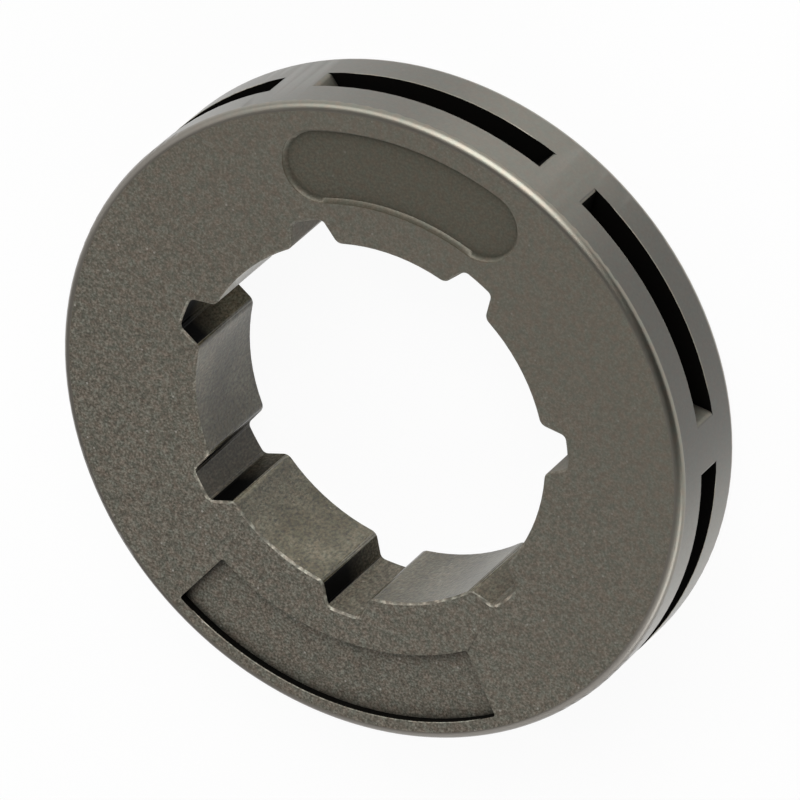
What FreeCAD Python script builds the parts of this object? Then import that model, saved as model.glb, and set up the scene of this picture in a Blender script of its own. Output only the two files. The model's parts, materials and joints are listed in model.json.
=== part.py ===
import FreeCAD, Part
import math
import os

# Rim sprocket for a chainsaw: one sintered steel ring that slides on a splined drum hub and drives the
# chain with the teeth between the pockets in its rim.
# It lies on its plain back face, with the bore along +Z and the origin on the bore axis at that face.
# The face with the two sunken panels is up: the rounded panel is towards +Y, the square-cornered one
# towards -Y. Sizes are in millimetres and degrees.

# Rim
outer_diameter = 36.4
thickness = 6.3
rim_edge_radius = 0.45

# Splined bore: wide lands that ride on the hub, and narrow grooves that take the hub's splines
spline_count = 7
land_diameter = 20.5
groove_depth = 1.33
groove_mouth_width = 2.8
groove_floor_width = 1.84
land_corner_radius = 0.5
groove_corner_radius = 0.38
bore_edge_break = 0.12

# Drive pockets: blind slots in the rim, each narrowing inwards between two teeth
pocket_count = 7
pocket_width = 1.78
tooth_tip_width = 2.9
tooth_tip_radius = 0.3
pocket_floor_width = 4.3
pocket_root_radius = 1.2
wall_over_groove = 0.85

# Rounded panel sunk into the front face, with its middle at this angle from +X
rounded_panel_angle = 90.0
rounded_panel_span = 38.4
rounded_panel_depth = 0.3
rounded_panel_floor_bevel = 0.2
rounded_panel_rim_margin = 1.5
rounded_panel_bore_margin = 0.97

# Square-cornered panel sunk into the front face, opposite the rounded one
square_panel_angle = rounded_panel_angle + 180.0
square_panel_span = 66.9
square_panel_depth = 0.5
square_panel_corner_radius = 0.15
square_panel_rim_margin = 1.05
square_panel_bore_margin = 1.67

# How far a cutting shape runs past the surface it cuts, and how near two places count as one
overcut = 1.0
tolerance = 1e-4

outer_radius = outer_diameter / 2
land_radius = land_diameter / 2
groove_radius = land_radius + groove_depth
pocket_floor_radius = groove_radius + wall_over_groove
axis = FreeCAD.Vector(0, 0, 1)
centre = FreeCAD.Vector(0, 0, 0)


# A point in the XY plane, at a radius and an angle counted from +X
def polar(radius, angle, z=0.0):
    turn = math.radians(angle)
    return FreeCAD.Vector(radius * math.cos(turn), radius * math.sin(turn), z)


def line(start, end):
    return Part.LineSegment(start, end).toShape()


def arc(start, middle, end):
    return Part.Arc(start, middle, end).toShape()


def prism(edges, z_low, height):
    face = Part.Face(Part.Wire(edges))
    face.translate(axis * z_low)
    return face.extrude(axis * height)


# The edges of a prism that run along Z at one radius
def upright_edges(shape, radius):
    found = []
    for edge in shape.Edges:
        ends = [vertex.Point for vertex in edge.Vertexes]
        if len(ends) != 2 or abs(ends[0].z - ends[1].z) < tolerance:
            continue
        if all(abs(math.hypot(end.x, end.y) - radius) < tolerance for end in ends):
            found.append(edge)
    return found


# The edges of a shape that lie in one level plane
def level_edges(shape, z):
    found = []
    for edge in shape.Edges:
        heights = [edge.BoundBox.ZMin, edge.BoundBox.ZMax]
        if all(abs(height - z) < tolerance for height in heights):
            found.append(edge)
    return found


def copies_about_axis(shape, count, first_angle):
    copies = []
    for i in range(count):
        copy = shape.copy()
        copy.rotate(centre, axis, first_angle + i * 360.0 / count)
        copies.append(copy)
    return copies


# The solid disc that the ring is cut from: its section is revolved, with both rim edges rounded
def rim_blank():
    r = rim_edge_radius
    diagonal = r * (1 - math.sqrt(0.5))
    flat_radius = outer_radius - r
    section = [
        line(FreeCAD.Vector(0, 0, 0), FreeCAD.Vector(flat_radius, 0, 0)),
        arc(FreeCAD.Vector(flat_radius, 0, 0), FreeCAD.Vector(outer_radius - diagonal, 0, diagonal),
            FreeCAD.Vector(outer_radius, 0, r)),
        line(FreeCAD.Vector(outer_radius, 0, r), FreeCAD.Vector(outer_radius, 0, thickness - r)),
        arc(FreeCAD.Vector(outer_radius, 0, thickness - r),
            FreeCAD.Vector(outer_radius - diagonal, 0, thickness - diagonal),
            FreeCAD.Vector(flat_radius, 0, thickness)),
        line(FreeCAD.Vector(flat_radius, 0, thickness), FreeCAD.Vector(0, 0, thickness)),
        line(FreeCAD.Vector(0, 0, thickness), FreeCAD.Vector(0, 0, 0)),
    ]
    return Part.Face(Part.Wire(section)).revolve(centre, axis, 360)


# One spline groove on +X, as a wedge that narrows outwards, with its floor on the groove circle
def groove_prism(z_low, height):
    half_mouth = groove_mouth_width / 2
    half_floor = groove_floor_width / 2
    mouth_x = math.sqrt(land_radius ** 2 - half_mouth ** 2)
    floor_x = math.sqrt(groove_radius ** 2 - half_floor ** 2)
    corners = [
        FreeCAD.Vector(mouth_x, -half_mouth, 0),
        FreeCAD.Vector(floor_x, -half_floor, 0),
        FreeCAD.Vector(floor_x, half_floor, 0),
        FreeCAD.Vector(mouth_x, half_mouth, 0),
    ]
    edges = [
        line(corners[0], corners[1]),
        arc(corners[1], FreeCAD.Vector(groove_radius, 0, 0), corners[2]),
        line(corners[2], corners[3]),
        line(corners[3], centre),
        line(centre, corners[0]),
    ]
    return prism(edges, z_low, height)


# The splined hole right through, with one groove under the middle of the square-cornered panel
def bore_cutter():
    z_low = -overcut
    height = thickness + 2 * overcut
    hole = Part.makeCylinder(land_radius, height, FreeCAD.Vector(0, 0, z_low))
    grooves = copies_about_axis(groove_prism(z_low, height), spline_count, square_panel_angle)
    hole = hole.fuse(grooves).removeSplitter()
    hole = hole.makeFillet(groove_corner_radius, upright_edges(hole, groove_radius))
    return hole.makeFillet(land_corner_radius, upright_edges(hole, land_radius))


# One drive pocket on +X, open at the rim: two sloping flanks and a floor concentric with the bore
def pocket_prism(z_low):
    half_tooth = math.degrees(math.asin(tooth_tip_width / 2 / outer_radius))
    half_mouth = 180.0 / pocket_count - half_tooth
    half_floor = math.degrees(math.asin(pocket_floor_width / 2 / pocket_floor_radius))
    edges = [
        line(polar(outer_radius, half_mouth), polar(pocket_floor_radius, half_floor)),
        arc(polar(pocket_floor_radius, half_floor), polar(pocket_floor_radius, 0),
            polar(pocket_floor_radius, -half_floor)),
        line(polar(pocket_floor_radius, -half_floor), polar(outer_radius, -half_mouth)),
        arc(polar(outer_radius, -half_mouth), polar(outer_radius, 0), polar(outer_radius, half_mouth)),
    ]
    return prism(edges, z_low, pocket_width)


# The toothed layer between the two side walls: a plain disc less its pockets, with tips and roots rounded.
# One pocket lies under the middle of the rounded panel, so the teeth stand over the spline grooves.
def toothed_core(z_low):
    disc = Part.makeCylinder(outer_radius, pocket_width, FreeCAD.Vector(0, 0, z_low))
    pockets = copies_about_axis(pocket_prism(z_low), pocket_count, rounded_panel_angle)
    core = disc.cut(pockets).removeSplitter()
    core = core.makeFillet(pocket_root_radius, upright_edges(core, pocket_floor_radius))
    return core.makeFillet(tooth_tip_radius, upright_edges(core, outer_radius))


# The hollow of all pockets together
def pocket_cutter():
    z_low = (thickness - pocket_width) / 2
    disc = Part.makeCylinder(outer_radius, pocket_width, FreeCAD.Vector(0, 0, z_low))
    return disc.cut(toothed_core(z_low))


# The arc-shaped panel with fully rounded ends and a bevel round its floor
def rounded_panel_cutter():
    outer = outer_radius - rounded_panel_rim_margin
    inner = groove_radius + rounded_panel_bore_margin
    middle = (outer + inner) / 2
    start = rounded_panel_angle - rounded_panel_span / 2
    end = rounded_panel_angle + rounded_panel_span / 2
    start_turn = polar(middle, start) + polar((outer - inner) / 2, start - 90.0)
    end_turn = polar(middle, end) + polar((outer - inner) / 2, end + 90.0)
    edges = [
        arc(polar(outer, start), polar(outer, rounded_panel_angle), polar(outer, end)),
        arc(polar(outer, end), end_turn, polar(inner, end)),
        arc(polar(inner, end), polar(inner, rounded_panel_angle), polar(inner, start)),
        arc(polar(inner, start), start_turn, polar(outer, start)),
    ]
    floor_z = thickness - rounded_panel_depth
    panel = prism(edges, floor_z, rounded_panel_depth + overcut)
    return panel.makeChamfer(rounded_panel_floor_bevel, level_edges(panel, floor_z))


# The panel that is a sector of a ring, with radial ends
def square_panel_cutter():
    outer = outer_radius - square_panel_rim_margin
    inner = groove_radius + square_panel_bore_margin
    start = square_panel_angle - square_panel_span / 2
    end = square_panel_angle + square_panel_span / 2
    edges = [
        arc(polar(outer, start), polar(outer, square_panel_angle), polar(outer, end)),
        line(polar(outer, end), polar(inner, end)),
        arc(polar(inner, end), polar(inner, square_panel_angle), polar(inner, start)),
        line(polar(inner, start), polar(outer, start)),
    ]
    panel = prism(edges, thickness - square_panel_depth, square_panel_depth + overcut)
    corners = upright_edges(panel, outer) + upright_edges(panel, inner)
    return panel.makeFillet(square_panel_corner_radius, corners)


# The edges of the bore where it meets the two faces
def bore_mouth_edges(ring):
    mouths = []
    for edge in level_edges(ring, 0.0) + level_edges(ring, thickness):
        furthest = max(math.hypot(vertex.Point.x, vertex.Point.y) for vertex in edge.Vertexes)
        if furthest < groove_radius + tolerance:
            mouths.append(edge)
    return mouths


def rim_sprocket():
    ring = rim_blank().cut([bore_cutter(), pocket_cutter(), rounded_panel_cutter(), square_panel_cutter()])
    return ring.makeChamfer(bore_edge_break, bore_mouth_edges(ring))


os.makedirs("parts", exist_ok=True)
sprocket = rim_sprocket()
sprocket.exportStep("parts/rim_sprocket.step")
print("rim_sprocket: solids", len(sprocket.Solids), "valid", sprocket.isValid())
print("volume mm3", round(sprocket.Volume, 1), "faces", len(sprocket.Faces))
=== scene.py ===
import json
import math

import bpy
from mathutils import Matrix, Vector


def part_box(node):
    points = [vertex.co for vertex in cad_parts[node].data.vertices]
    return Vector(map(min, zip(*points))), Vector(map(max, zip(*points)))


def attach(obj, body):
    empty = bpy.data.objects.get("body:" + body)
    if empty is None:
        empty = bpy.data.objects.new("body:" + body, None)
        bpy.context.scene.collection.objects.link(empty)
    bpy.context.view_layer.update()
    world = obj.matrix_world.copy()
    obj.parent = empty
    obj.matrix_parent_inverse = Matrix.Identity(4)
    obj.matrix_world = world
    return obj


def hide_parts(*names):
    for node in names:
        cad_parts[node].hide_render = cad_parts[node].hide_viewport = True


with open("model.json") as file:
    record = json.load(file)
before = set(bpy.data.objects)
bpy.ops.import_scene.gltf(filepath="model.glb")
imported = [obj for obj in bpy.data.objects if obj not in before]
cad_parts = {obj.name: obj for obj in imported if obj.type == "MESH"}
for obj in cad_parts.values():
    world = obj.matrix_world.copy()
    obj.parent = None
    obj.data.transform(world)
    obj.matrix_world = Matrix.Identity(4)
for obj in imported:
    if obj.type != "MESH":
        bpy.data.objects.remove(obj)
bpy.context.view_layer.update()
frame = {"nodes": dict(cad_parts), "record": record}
print("frame loaded:", ", ".join(frame["nodes"]))

# The ring's own measures. It lies with its two panels up, and its sides are named by the frame: +X is
# right and +Y is back.
millimetre = 0.001
ringNode = "rim_sprocket"
lowest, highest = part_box(ringNode)
rimRadius = highest.x
edgeRadius = 0.45 * millimetre      # of the rim's two rounded edges
boreRadius = frame["record"]["mounts"][0]["dims"]["r_mm"] * millimetre
slotPitch = 360 / frame["record"]["mounts"][1]["dims"]["count"]      # degrees


# sRGB hex to the linear colour that a socket takes
def hexColour(code):
    channels = [int(code[i:i + 2], 16) / 255 for i in (1, 3, 5)]
    linear = [c / 12.92 if c <= 0.04045 else ((c + 0.055) / 1.055) ** 2.4 for c in channels]
    return (*linear, 1.0)


# pattern scale for a feature of this size in mm
def perFeature(size):
    return 1 / (size * millimetre)


# unit vector at an azimuth from +X and an elevation
def direction(azimuth, elevation):
    turn, rise = math.radians(azimuth), math.radians(elevation)
    return Vector((math.cos(rise) * math.cos(turn), math.cos(rise) * math.sin(turn), math.sin(rise)))


# adds one node, sets its properties and its ramp's stops, then its inputs: a socket is linked, anything
# else is a value
def addNode(tree, kind, settings=None, stops=None, **inputs):
    node = tree.nodes.new(kind)
    for name, value in (settings or {}).items():
        setattr(node, name, value)
    if stops:
        ramp = node.color_ramp.elements
        for position, code in stops.items():
            ramp.new(position).color = hexColour(code)
        ramp.remove(ramp[0])                # a new ramp's own two ends
        ramp.remove(ramp[len(ramp) - 1])
    for name, value in inputs.items():
        key = int(name[2:]) if name.startswith("in") and name[2:].isdigit() else name.replace("_", " ")
        if isinstance(value, bpy.types.NodeSocket):
            tree.links.new(value, node.inputs[key])
        else:
            node.inputs[key].default_value = value
    return node


# settings of a Mix, which takes two colours as in6 and in7 and gives its colour as output 2
blend = {"data_type": "RGBA"}
darken = {"data_type": "RGBA", "blend_type": "MULTIPLY"}


def newMaterial(name):
    material = bpy.data.materials.new(name)
    material.use_nodes = True
    material.node_tree.nodes.clear()
    return material, material.node_tree


# Sintered steel, pressed in a die and steam treated: fine open grain, so a dull warm grey with no clear
# mirror image, mottled a little greenish and brown, with a few painted glints on single grains.
# It is rubbed smoother towards one side, so the grain shows less there. Corners get painted shade.
# One recipe, several finishes. The rim and the lands are ground round the axis, so they are smoother and
# smear their reflections along the axis, under an oil film that mirrors what is pale at a flat glance.
# The lands have brown dirt rubbed in, and the rim's edge is polished on one side, dulled as painted shade
# on the other. Grooves keep dark oxide; some grooves, panel walls and pockets get painted shade as well.
# Sizes are in mm. The grain is drawn about twice as coarse as the real powder, so that it shows.
steelFinishes = {
    "steelPressedFace": {
        "pit": "#4a463f", "body": "#746f67", "grain": "#a09b93", "speck": "#b8b3ab",
        "grainSize": 0.12, "speckSpacing": 0.42, "speckShare": 0.1,
        "metallic": 0.4, "roughness": 0.52, "relief": 0.014,
    },
    "steelCoinedPad": {
        "pit": "#403c35", "body": "#635f56", "grain": "#868177", "speck": "#9b978e",
        "grainSize": 0.14, "speckSpacing": 0.5, "speckShare": 0.05,
        "metallic": 0.4, "roughness": 0.5, "relief": 0.008,
    },
    "steelGroundRim": {
        "pit": "#514e48", "body": "#64615b", "grain": "#76736d", "speck": "#84817b",
        "grainSize": 0.16, "speckSpacing": 0.6, "speckShare": 0.03,
        "metallic": 0.7, "roughness": 0.55, "relief": 0.006, "anisotropy": 0.95, "oilFilm": 1.0,
    },
    "steelRolledCorner": {
        "pit": "#827e77", "body": "#8b8780", "grain": "#938f88", "speck": "#9d9992",
        "grainSize": 0.2, "speckSpacing": 0.6, "speckShare": 0.03,
        "metallic": 1.0, "roughness": 0.36, "relief": 0.001, "oilFilm": 0.5,
        "rollIn": 0.22, "dullTill": 3.0,            # width of the change to polish, and where polish begins; short of it the edge is dulled as painted shade
    },
    "steelGroundLand": {
        "pit": "#2a261c", "body": "#615b49", "grain": "#7f796a", "speck": "#a29c8d",
        "grainSize": 0.15, "speckSpacing": 0.45, "speckShare": 0.08, "streak": 1.7, "dirtSize": 2.5,
        "metallic": 0.6, "roughness": 0.55, "relief": 0.035, "anisotropy": 0.95, "oilFilm": 1.0,
    },
    "steelOxideAndShadeGroove": {
        "pit": "#332e24", "body": "#5d574c", "grain": "#7f796c", "speck": "#8b8679",
        "grainSize": 0.12, "speckSpacing": 0.6, "speckShare": 0.04, "streak": 1.7,
        "metallic": 0.3, "roughness": 0.5, "relief": 0.012,
    },
    # darker copies of the groove finish, as painted shade in grooves towards -X
    "steelOiledGroove": {
        "pit": "#1b1711", "body": "#3a352b", "grain": "#544e44", "speck": "#635d53",
        "grainSize": 0.12, "speckSpacing": 0.6, "speckShare": 0.04, "streak": 1.7,
        "metallic": 0.3, "roughness": 0.5, "relief": 0.014,
    },
    "steelFlankShadedAtFace": {
        "pit": "#29251d", "body": "#4a453b", "grain": "#6b655a", "speck": "#7d776b",
        "grainSize": 0.12, "speckSpacing": 0.6, "speckShare": 0.04, "streak": 1.7,
        "metallic": 0.2, "roughness": 0.6, "relief": 0.008, "gloss": 0.05,
        "stainFrom": 2.6, "stainDepth": 6.3,        # painted shade, black down to the first depth, gone at the second
    },
    "steelStainedGroove": {
        "pit": "#332e24", "body": "#6a6355", "grain": "#8b8475", "speck": "#969082",
        "grainSize": 0.12, "speckSpacing": 0.6, "speckShare": 0.04, "streak": 1.7,
        "metallic": 0.3, "roughness": 0.5, "relief": 0.012, "gloss": 0.02,
        "stainFrom": 1.0, "stainDepth": 4.0,
    },
    # near black as painted shade, in the slot pockets and on the square panel's walls
    "steelOxidePocket": {
        "pit": "#040403", "body": "#080706", "grain": "#0e0d0b", "speck": "#131210",
        "grainSize": 0.25, "speckSpacing": 0.6, "speckShare": 0.05,
        "metallic": 0.2, "roughness": 0.7, "relief": 0.010, "gloss": 0.05,
    },
    "steelLitFlank": {
        "pit": "#625e57", "body": "#75726c", "grain": "#838079", "speck": "#908d86",
        "grainSize": 0.2, "speckSpacing": 0.6, "speckShare": 0.05,
        "metallic": 0.4, "roughness": 0.5, "relief": 0.004, "gloss": 0.2,
        "litDepth": 1.3, "shadeTone": 0.04,        # lit at the rim, then painted shade, this dark from this deep
    },
    "steelRubbedMouth": {
        "pit": "#4a463f", "body": "#78736b", "grain": "#bdb7ad", "speck": "#cfc9bf",
        "grainSize": 0.35, "speckSpacing": 0.6, "speckShare": 0.1,
        "metallic": 0.4, "roughness": 0.48, "relief": 0.012,
    },
    "steelWornEdge": {
        "pit": "#5a564e", "body": "#a5a097", "grain": "#d2cdc4", "speck": "#e0dbd2",
        "grainSize": 0.16, "speckSpacing": 0.4, "speckShare": 0.15,
        "metallic": 0.45, "roughness": 0.42, "relief": 0.012,
    },
}
grainLook = {"detail": 2.0, "roughness": 0.6, "pitAt": 0.3, "bodyAt": 0.5, "grainAt": 0.7}
# painted glints, as specks lighter than the grain
speckLook = {"core": 0.08, "edge": 0.2}         # shares of the spacing
mottleLook = {
    "size": 0.4, "detail": 2.0,
    "green": "#f2fbf4", "greenAt": 0.3, "brown": "#fff6ec", "brownAt": 0.7,
}
dirtLook = {"detail": 3.0, "dirty": "#cbc7b5", "dirtyAt": 0.4, "clean": "#ffffff", "cleanAt": 0.6}
# painted shade in corners and hollows
cornerShadeLook = {"reach": 0.5, "samples": 16, "open": 0.86, "shut": 0.4, "darkest": 0.15}
rubAndShadeLook = {"side": 60.0, "from": -11.0, "to": 12.0, "grainFar": 0.85, "grainNear": 0.22}      # degrees, mm
oilLook = {"roughness": 0.3, "ior": 1.4}
smearTurn = 0.25                                # of a full turn, across the grinding lines


def axisDistance(tree, place):
    level = addNode(tree, "ShaderNodeVectorMath", {"operation": "MULTIPLY"}, in0=place, in1=(1, 1, 0))
    length = addNode(tree, "ShaderNodeVectorMath", {"operation": "LENGTH"}, in0=level.outputs[0])
    return length.outputs["Value"]


# how far a place lies towards the rubbed side, and the share of the grain that is left there
def rubbedAndShadeSide(tree, place):
    side = math.radians(rubAndShadeLook["side"])
    towards = addNode(tree, "ShaderNodeVectorMath", {"operation": "DOT_PRODUCT"}, in0=place,
                      in1=(math.cos(side), math.sin(side), 0))
    strength = addNode(tree, "ShaderNodeMapRange", Value=towards.outputs["Value"],
                       From_Min=rubAndShadeLook["from"] * millimetre, From_Max=rubAndShadeLook["to"] * millimetre,
                       To_Min=rubAndShadeLook["grainFar"], To_Max=rubAndShadeLook["grainNear"])
    return towards.outputs["Value"], strength.outputs[0]


# pits and grains about the body colour, with a mottled tint
def grainColour(tree, finish, place, grain, strength):
    tone = addNode(tree, "ShaderNodeValToRGB", Fac=grain, stops={
        grainLook["pitAt"]: finish["pit"],
        grainLook["bodyAt"]: finish["body"],
        grainLook["grainAt"]: finish["grain"],
    })
    rubbed = addNode(tree, "ShaderNodeMix", blend, in0=strength,
                     in6=hexColour(finish["body"]), in7=tone.outputs[0])
    mottle = addNode(tree, "ShaderNodeTexNoise", Vector=place,
                     Scale=perFeature(mottleLook["size"]), Detail=mottleLook["detail"])
    tint = addNode(tree, "ShaderNodeValToRGB", Fac=mottle.outputs["Fac"], stops={
        mottleLook["greenAt"]: mottleLook["green"],
        mottleLook["brownAt"]: mottleLook["brown"],
    })
    tinted = addNode(tree, "ShaderNodeMix", darken, in0=1.0, in6=rubbed.outputs[2], in7=tint.outputs[0])
    return tinted.outputs[2]


# painted glints: lighter specks where single grains would catch the light, one in a few of the cells
def addPaintedGlints(tree, finish, place, strength, colour):
    cells = addNode(tree, "ShaderNodeTexVoronoi", Vector=place, Scale=perFeature(finish["speckSpacing"]))
    near = addNode(tree, "ShaderNodeMapRange", Value=cells.outputs["Distance"],
                   From_Min=speckLook["core"], From_Max=speckLook["edge"], To_Min=1.0, To_Max=0.0)
    chance = addNode(tree, "ShaderNodeSeparateColor", Color=cells.outputs["Color"])
    picked = addNode(tree, "ShaderNodeMath", {"operation": "LESS_THAN"},
                     in0=chance.outputs[0], in1=finish["speckShare"])
    speck = addNode(tree, "ShaderNodeMath", {"operation": "MULTIPLY"},
                    in0=near.outputs[0], in1=picked.outputs[0])
    shown = addNode(tree, "ShaderNodeMath", {"operation": "MULTIPLY"}, in0=speck.outputs[0], in1=strength)
    specked = addNode(tree, "ShaderNodeMix", blend, in0=shown.outputs[0],
                      in6=colour, in7=hexColour(finish["speck"]))
    return specked.outputs[2]


# painted shade: darker in corners and hollows, by ambient occlusion
def addPaintedCornerShade(tree, colour):
    corner = addNode(tree, "ShaderNodeAmbientOcclusion",
                     {"samples": cornerShadeLook["samples"], "only_local": True},
                     Distance=cornerShadeLook["reach"] * millimetre)
    cornerShade = addNode(tree, "ShaderNodeMapRange", Value=corner.outputs["AO"],
                    From_Min=cornerShadeLook["shut"], From_Max=cornerShadeLook["open"],
                    To_Min=cornerShadeLook["darkest"], To_Max=1.0)
    return addNode(tree, "ShaderNodeMix", darken, in0=1.0, in6=colour, in7=cornerShade.outputs[0]).outputs[2]


# brown patches where the hub has rubbed old oil in
def addDirt(tree, finish, place, colour):
    patches = addNode(tree, "ShaderNodeTexNoise", Vector=place,
                      Scale=perFeature(finish["dirtSize"]), Detail=dirtLook["detail"])
    dirt = addNode(tree, "ShaderNodeValToRGB", Fac=patches.outputs["Fac"], stops={
        dirtLook["dirtyAt"]: dirtLook["dirty"],
        dirtLook["cleanAt"]: dirtLook["clean"],
    })
    return addNode(tree, "ShaderNodeMix", darken, in0=1.0, in6=colour, in7=dirt.outputs[0]).outputs[2]


# painted shade, black at the upper face, gone further down
def addShadeAtFace(tree, finish, place, colour):
    across = addNode(tree, "ShaderNodeSeparateXYZ", Vector=place)
    stain = addNode(tree, "ShaderNodeMapRange", Value=across.outputs["Z"],
                    From_Min=highest.z - finish["stainDepth"] * millimetre,
                    From_Max=highest.z - finish["stainFrom"] * millimetre, To_Min=1.0, To_Max=0.0)
    return addNode(tree, "ShaderNodeMix", darken, in0=1.0, in6=colour, in7=stain.outputs[0]).outputs[2]


# painted shade: as lit at the rim, black further in
def addInwardShade(tree, finish, place, colour):
    lit = addNode(tree, "ShaderNodeMapRange", Value=axisDistance(tree, place),
                   From_Min=rimRadius - finish["litDepth"] * millimetre, From_Max=rimRadius,
                   To_Min=finish["shadeTone"], To_Max=1.0)
    return addNode(tree, "ShaderNodeMix", darken, in0=1.0, in6=colour, in7=lit.outputs[0]).outputs[2]


# share of polish on the rim's edge: none beside the face, and more towards the rubbed side
# The dull side away from it is painted shade, which keeps the edge's highlight off there.
def edgeShineAndShade(tree, finish, place, towards):
    inner = rimRadius - edgeRadius
    rolled = addNode(tree, "ShaderNodeMapRange", Value=axisDistance(tree, place), From_Min=inner,
                     From_Max=inner + finish["rollIn"] * millimetre, To_Min=0.0, To_Max=1.0)
    outOfShade = addNode(tree, "ShaderNodeMapRange", Value=towards,
                    From_Min=finish["dullTill"] * millimetre, From_Max=rubAndShadeLook["to"] * millimetre,
                    To_Min=0.0, To_Max=1.0)
    return addNode(tree, "ShaderNodeMath", {"operation": "MULTIPLY"},
                   in0=rolled.outputs[0], in1=outOfShade.outputs[0]).outputs[0]


def sinteredSteel(name, finish):
    material, tree = newMaterial(name)
    place = addNode(tree, "ShaderNodeTexCoord").outputs["Object"]
    towards, strength = rubbedAndShadeSide(tree, place)
    along = addNode(tree, "ShaderNodeMapping", Vector=place, Scale=(1, 1, 1 / finish.get("streak", 1.0)))
    grain = addNode(tree, "ShaderNodeTexNoise", Vector=along.outputs[0],
                    Scale=perFeature(finish["grainSize"]), Detail=grainLook["detail"],
                    Roughness=grainLook["roughness"]).outputs["Fac"]
    colour = grainColour(tree, finish, place, grain, strength)
    colour = addPaintedGlints(tree, finish, place, strength, colour)
    colour = addPaintedCornerShade(tree, colour)
    if "dirtSize" in finish:
        colour = addDirt(tree, finish, place, colour)
    if "stainDepth" in finish:
        colour = addShadeAtFace(tree, finish, place, colour)
    if "litDepth" in finish:
        colour = addInwardShade(tree, finish, place, colour)
    shine = finish["metallic"]
    if "rollIn" in finish:                  # starts as dull as the face
        dull = steelFinishes["steelPressedFace"]
        # out of polish the edge takes the face's dull colour: painted shade on the far side
        shineAndShade = edgeShineAndShade(tree, finish, place, towards)
        colour = addNode(tree, "ShaderNodeMix", blend, in0=shineAndShade,
                         in6=hexColour(dull["body"]), in7=colour).outputs[2]
        shine = addNode(tree, "ShaderNodeMapRange", Value=shineAndShade,
                        To_Min=dull["metallic"], To_Max=shine).outputs[0]
    bump = addNode(tree, "ShaderNodeBump", Height=grain, Strength=strength,
                   Distance=finish["relief"] * millimetre)
    steel = addNode(tree, "ShaderNodeBsdfPrincipled", Base_Color=colour, Metallic=shine,
                    Roughness=finish["roughness"], Normal=bump.outputs[0])
    if "oilFilm" in finish:
        steel.inputs["Coat Weight"].default_value = finish["oilFilm"]
        steel.inputs["Coat Roughness"].default_value = oilLook["roughness"]
        steel.inputs["Coat IOR"].default_value = oilLook["ior"]
        tree.links.new(bump.outputs[0], steel.inputs["Coat Normal"])
    if "gloss" in finish:                   # dark and shaded finishes barely shine
        steel.inputs["Specular IOR Level"].default_value = finish["gloss"]
    if "anisotropy" in finish:
        roundAxis = addNode(tree, "ShaderNodeTangent", {"direction_type": "RADIAL", "axis": "Z"})
        tree.links.new(roundAxis.outputs[0], steel.inputs["Tangent"])
        steel.inputs["Anisotropic"].default_value = finish["anisotropy"]
        steel.inputs["Anisotropic Rotation"].default_value = smearTurn
    addNode(tree, "ShaderNodeOutputMaterial", Surface=steel.outputs[0])
    return material


# The ring keeps the frame's shape. Its slot mouths and the lip of its square-cornered panel get a fine
# broken edge, in the worn finish.
ringLook = {
    "mergeGap": 0.0005,                     # mm, doubles of the loose triangles
    "flatAngle": 0.2,                       # degrees, triangles of one flat face become one face
    "slotEdge": 0.08, "panelEdge": 0.14,    # mm, width of the broken edge
    "edgeSegments": 2,
    "sharpAngle": 60.0,                     # degrees, sharper edges than this are broken
    "smoothAngle": 32.0,                    # degrees
    "flatWeight": 80,                       # of large faces in the shading
    "near": 0.01,                           # mm, how close counts as on a surface
    "slotAngle": 90.0,                      # degrees from +X, middle of the first slot
    "slotSpan": 38.0, "lipSpan": 65.0,      # degrees of each edge that are broken, short of its ends
    "lipZone": 1.2,                         # mm in from the rim
}

# Where each finish lies, in mm
zoneLook = {
    "rim": 0.46, "toothTip": 0.25,          # in from the rim
    "bore": 1.4, "land": 0.15,              # out from the lands
    "slot": 2.0, "panelWall": 0.02, "panelFloor": 0.1,      # down from the nearer face
    "rubbed": -5.0,                         # along Y
    "stained": -8.0, "shadedFront": -5.0, "shadedFlank": 3.0,           # along X
}

# Which way its faces turn, as shares of their normals
leanLook = {
    "upright": 0.03, "edgeBreak": 0.3, "panelWall": 0.5, "flat": 0.97,              # along Z
    "grooveFlank": -0.75, "roundedEdge": 0.02, "slotFlank": 0.2, "toothTip": 0.9,   # away from the axis
    "lit": 0.65, "litSide": 65.0,         # towards this side, in degrees from +X, slot flanks keep a light finish, as painted light
}


def startEdit(piece):
    bpy.ops.object.select_all(action="DESELECT")
    bpy.context.view_layer.objects.active = piece
    piece.select_set(True)
    bpy.ops.object.mode_set(mode="EDIT")


# finish in the bore: lands and grooves; grooves and flanks towards -X are darker, as painted shade
def boreFinish(face, fromLands, outward):
    atFront = face.center.y < 0
    if abs(face.normal.z) > leanLook["edgeBreak"]:
        rubbed = face.center.y < zoneLook["rubbed"] * millimetre and face.normal.z > 0
        return "steelRubbedMouth" if rubbed else "steelPressedFace"
    if fromLands < zoneLook["land"] * millimetre:
        return "steelGroundLand"
    if face.center.y > 0 and face.center.x < zoneLook["stained"] * millimetre:
        return "steelStainedGroove"
    if atFront and outward > leanLook["grooveFlank"] and face.center.x < zoneLook["shadedFlank"] * millimetre:
        return "steelFlankShadedAtFace"
    shadedFront = atFront and face.center.x < zoneLook["shadedFront"] * millimetre
    return "steelOiledGroove" if shadedFront else "steelOxideAndShadeGroove"


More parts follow.
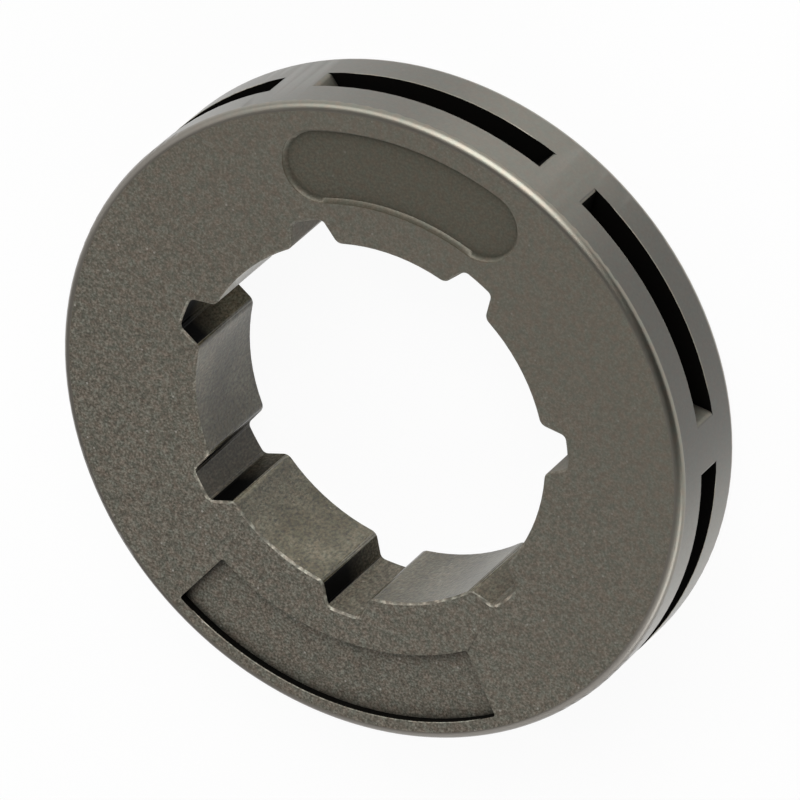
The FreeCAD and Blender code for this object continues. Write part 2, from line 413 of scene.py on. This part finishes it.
# finish of a face, by where it lies on the ring and which way it turns
def faceFinish(face):
    radius = math.hypot(face.center.x, face.center.y)
    fromRim, fromLands = rimRadius - radius, radius - boreRadius
    depth = min(face.center.z - lowest.z, highest.z - face.center.z)
    flatness = abs(face.normal.z)
    outward = (face.normal.x * face.center.x + face.normal.y * face.center.y) / radius
    side = math.radians(leanLook["litSide"])
    litWay = face.normal.x * math.cos(side) + face.normal.y * math.sin(side)
    inSlot = depth > zoneLook["slot"] * millimetre
    if fromRim < zoneLook["rim"] * millimetre and outward > leanLook["roundedEdge"] and not inSlot:
        return "steelGroundRim" if flatness < leanLook["upright"] else "steelRolledCorner"
    if fromRim < zoneLook["toothTip"] * millimetre and outward > leanLook["toothTip"]:
        return "steelGroundRim"
    if fromLands < zoneLook["bore"] * millimetre and flatness < leanLook["flat"]:
        return boreFinish(face, fromLands, outward)
    if inSlot:
        # slot flanks turned to the lit side keep a light finish, the rest are near black: painted light and
        # shade
        lit = litWay > leanLook["lit"] and outward > leanLook["slotFlank"]
        return "steelLitFlank" if lit else "steelOxidePocket"
    # panel walls are darkened as painted shade: near black on the square panel, the groove finish on the
    # pad
    if depth > zoneLook["panelWall"] * millimetre and flatness < leanLook["panelWall"]:
        return "steelOxideAndShadeGroove" if face.center.y > 0 else "steelOxidePocket"
    coined = face.center.y > 0 and depth > zoneLook["panelFloor"] * millimetre
    return "steelCoinedPad" if coined else "steelPressedFace"


# breaks the sharp edges whose both ends pass the test
def breakEdges(piece, test, width, finishIndex):
    startEdit(piece)
    bpy.ops.mesh.select_mode(type="EDGE")
    bpy.ops.mesh.select_all(action="DESELECT")
    bpy.ops.mesh.edges_select_sharp(sharpness=math.radians(ringLook["sharpAngle"]))
    bpy.ops.object.mode_set(mode="OBJECT")
    mesh = piece.data
    chosen = [e.select and all(test(mesh.vertices[v].co) for v in e.vertices) for e in mesh.edges]
    startEdit(piece)
    bpy.ops.mesh.select_all(action="DESELECT")
    bpy.ops.object.mode_set(mode="OBJECT")
    for edge, keep in zip(mesh.edges, chosen):
        edge.select = keep
    startEdit(piece)
    bpy.ops.mesh.bevel(offset=width * millimetre, segments=ringLook["edgeSegments"], affect="EDGES",
                       clamp_overlap=True, material=finishIndex)
    bpy.ops.object.mode_set(mode="OBJECT")
    print("edges broken:", sum(chosen))


def onRim(point):
    return math.hypot(point.x, point.y) > rimRadius - ringLook["near"] * millimetre


# the long edges of a slot, short of its rounded ends
def onSlotEdge(point):
    turn = (math.degrees(math.atan2(point.y, point.x)) - ringLook["slotAngle"]) % slotPitch
    return onRim(point) and min(turn, slotPitch - turn) < ringLook["slotSpan"] / 2


# the lip between the square-cornered panel and the rim, short of the panel's corners
def onPanelLip(point):
    onFace = point.z > highest.z - ringLook["near"] * millimetre
    onLip = math.hypot(point.x, point.y) > rimRadius - ringLook["lipZone"] * millimetre
    turn = math.degrees(math.atan2(point.x, -point.y))
    return onFace and onLip and abs(turn) < ringLook["lipSpan"] / 2


# the frame's facets on the rim and its rounded edges are uneven, so they are shaded as the true shape
def shadeRim(piece):
    mesh = piece.data
    normals = [corner.vector.copy() for corner in mesh.corner_normals]
    for face in mesh.polygons:
        finish = mesh.materials[face.material_index].name
        points = [mesh.vertices[v].co for v in face.vertices]
        if finish not in ("steelGroundRim", "steelRolledCorner"):
            continue
        if finish == "steelGroundRim" and not all(onRim(point) for point in points):
            continue                        # the rounded tooth tips
        for corner, point in zip(face.loop_indices, points):
            inset = (rimRadius - edgeRadius) / math.hypot(point.x, point.y)
            level = min(max(point.z, lowest.z + edgeRadius), highest.z - edgeRadius)
            normals[corner] = (point - Vector((point.x * inset, point.y * inset, level))).normalized()
    mesh.normals_split_custom_set(normals)


def sprocketRing():
    look = ringLook
    source = frame["nodes"][ringNode]
    ring = bpy.data.objects.new("sprocket_ring", source.data.copy())
    bpy.context.scene.collection.objects.link(ring)
    startEdit(ring)
    bpy.ops.mesh.select_all(action="SELECT")
    bpy.ops.mesh.remove_doubles(threshold=look["mergeGap"] * millimetre)
    bpy.ops.mesh.dissolve_limited(angle_limit=math.radians(look["flatAngle"]))
    bpy.ops.object.mode_set(mode="OBJECT")
    ring.data.materials.clear()
    finishNames = list(steelFinishes)
    for name in finishNames:
        ring.data.materials.append(sinteredSteel(name, steelFinishes[name]))
    for face in ring.data.polygons:
        face.material_index = finishNames.index(faceFinish(face))
    worn = finishNames.index("steelWornEdge")
    breakEdges(ring, onSlotEdge, look["slotEdge"], worn)
    breakEdges(ring, onPanelLip, look["panelEdge"], worn)
    bpy.ops.object.shade_smooth_by_angle(angle=math.radians(look["smoothAngle"]))
    flatter = ring.modifiers.new("flat faces stay flat", "WEIGHTED_NORMAL")
    flatter.keep_sharp = True
    flatter.weight = look["flatWeight"]
    bpy.ops.object.modifier_apply(modifier=flatter.name)
    shadeRim(ring)
    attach(ring, "root")
    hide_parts(ringNode)
    print("ring:", len(ring.data.polygons), "faces")


sprocketRing()


# Floor: pale card, wide enough for every view. It shows and mirrors nearly white, and keeps a soft shadow.
floorLook = {"size": 4.0, "colour": "#fbfbfa", "ownLight": 0.94}      # metres, share of white


def cardFloor():
    bpy.ops.object.select_all(action="DESELECT")
    bpy.ops.mesh.primitive_plane_add(size=floorLook["size"])
    floor = bpy.context.object
    floor.name = "floor"
    material, tree = newMaterial("paleCard")
    rays = addNode(tree, "ShaderNodeLightPath")
    seen = addNode(tree, "ShaderNodeMath", {"operation": "MAXIMUM"},
                   in0=rays.outputs["Is Camera Ray"], in1=rays.outputs["Is Glossy Ray"])
    seenOrThrough = addNode(tree, "ShaderNodeMath", {"operation": "MAXIMUM"},
                            in0=seen.outputs[0], in1=rays.outputs["Is Transmission Ray"])
    share = addNode(tree, "ShaderNodeMath", {"operation": "MULTIPLY"},
                    in0=seenOrThrough.outputs[0], in1=floorLook["ownLight"])
    card = addNode(tree, "ShaderNodeBsdfDiffuse", Color=hexColour(floorLook["colour"]))
    glow = addNode(tree, "ShaderNodeEmission", Color=(1, 1, 1, 1), Strength=1.0)
    mix = addNode(tree, "ShaderNodeMixShader", in0=share.outputs[0], in1=card.outputs[0],
                  in2=glow.outputs[0])
    addNode(tree, "ShaderNodeOutputMaterial", Surface=mix.outputs[0])
    floor.data.materials.append(material)


cardFloor()
print("floor done")

# Studio light: a dark room and soft lamps, named for where they stand about the ring. Angles are in
# degrees, with the azimuth from +X, and sizes in metres. At level 1 a white that faces the lamp shows as
# white.
lampLook = {
    "backLamp": {"azimuth": 84, "elevation": 27, "width": 0.5, "height": 0.6, "level": 0.86},
    "highLamp": {"azimuth": 84, "elevation": 58, "width": 0.5, "height": 0.4, "level": 0.16},
    "cornerLamp": {"azimuth": 124, "elevation": 28, "width": 0.4, "height": 0.5, "level": 0.24},
    "leftLamp": {"azimuth": 170, "elevation": 28, "width": 0.8, "height": 0.55, "level": 0.34},
    "frontLamp": {"azimuth": 284, "elevation": 26, "width": 0.9, "height": 0.6, "level": 0.55},
    "rightLamp": {"azimuth": 318, "elevation": 10, "width": 0.5, "height": 0.3, "level": 0.35},
}
lampDistance = 0.7
roomLook = {"level": 0.0}


def studioRoom():
    world = bpy.data.worlds.new("studio")
    bpy.context.scene.world = world
    world.use_nodes = True
    tree = world.node_tree
    tree.nodes.clear()
    light = addNode(tree, "ShaderNodeBackground", Color=(1, 1, 1, 1), Strength=roomLook["level"])
    addNode(tree, "ShaderNodeOutputWorld", Surface=light.outputs[0])


def softLamp(name, look):
    data = bpy.data.lights.new(name, "AREA")
    data.shape = "RECTANGLE"
    data.size = look["width"]
    data.size_y = look["height"]
    data.energy = look["level"] * (math.pi * lampDistance) ** 2
    lamp = bpy.data.objects.new(name, data)
    bpy.context.scene.collection.objects.link(lamp)
    towards = direction(look["azimuth"], look["elevation"])
    lamp.location = towards * lampDistance
    lamp.rotation_euler = towards.to_track_quat("Z", "Y").to_euler()
    lamp.visible_camera = False


studioRoom()
for lampName, look in lampLook.items():
    softLamp(lampName, look)
print("light done")

# Camera: a long lens, turned so that the ring seems to stand
cameraLook = {
    "bearing": 55.80, "elevation": 52.304, "roll": -131.543,            # degrees
    "distance": 617.7, "shiftRight": -0.2162, "shiftUp": -0.0235,       # mm
    "pixelsPerMm": 19.1061, "imageWidth": 800,
    "sensorWidth": 36,                                                  # mm
}


def photoCamera():
    look = cameraLook
    roll = math.radians(look["roll"])
    middle = (lowest + highest) / 2
    back = direction(look["bearing"], look["elevation"])
    levelRight = Vector((0, 0, 1)).cross(back).normalized()
    levelUp = back.cross(levelRight)
    right = math.cos(roll) * levelRight + math.sin(roll) * levelUp
    up = back.cross(right)
    data = bpy.data.cameras.new("photo camera")
    data.sensor_width = look["sensorWidth"]
    data.lens = look["pixelsPerMm"] * look["distance"] / look["imageWidth"] * look["sensorWidth"]
    camera = bpy.data.objects.new("photo camera", data)
    bpy.context.scene.collection.objects.link(camera)
    offset = look["distance"] * back - look["shiftRight"] * right - look["shiftUp"] * up
    turned = Matrix((right, up, back)).transposed().to_quaternion()
    camera.matrix_world = Matrix.LocRotScale(middle + offset * millimetre, turned, None)
    bpy.context.scene.camera = camera


photoCamera()
bpy.context.scene.view_settings.view_transform = "Standard"
print("camera done")
